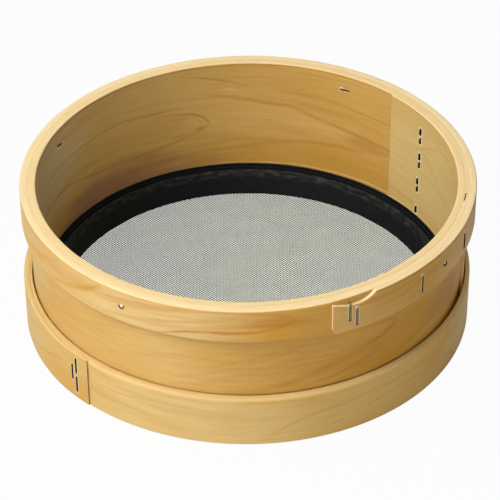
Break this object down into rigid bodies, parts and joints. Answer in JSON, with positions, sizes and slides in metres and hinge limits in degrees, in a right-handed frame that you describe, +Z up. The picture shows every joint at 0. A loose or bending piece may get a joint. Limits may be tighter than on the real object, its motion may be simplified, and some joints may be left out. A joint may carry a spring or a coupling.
{
  "type": "wooden frame sieve",
  "caption": "Round flour sieve: a bent-wood hoop with a lapped rim band and a lower hoop that clamps a flat wire net with a black cloth border.",
  "frame": {"origin": "on the axis of the hoops, in the plane of the foot that the sieve stands on", "axes": "+Z up along the hoops' axis, from the foot to the open rim; -Y towards the side with the rim band's tongue at its right"},
  "size_m": [0.2424, 0.2408, 0.085],
  "materials": {
    "hoop_wood": "bare",
    "band_wood": "bare",
    "net_wire": "drawn wire",
    "black_cloth": "matt",
    "staple_steel": "satin"
  },
  "bodies": {
    "root": {"main_hoop": "hoop_wood", "rim_band": "band_wood", "lower_hoop": "band_wood", "wire_net": "net_wire", "edge_binding": "black_cloth", "inner_ring": "hoop_wood", "border_cloth": "black_cloth", "border_hem": "black_cloth", "main_lap_staples": "staple_steel", "tongue_staples": "staple_steel", "rim_staples": "staple_steel", "lower_lap_staples": "staple_steel", "rim_brads": "staple_steel"}
  },
  "joints": []
}
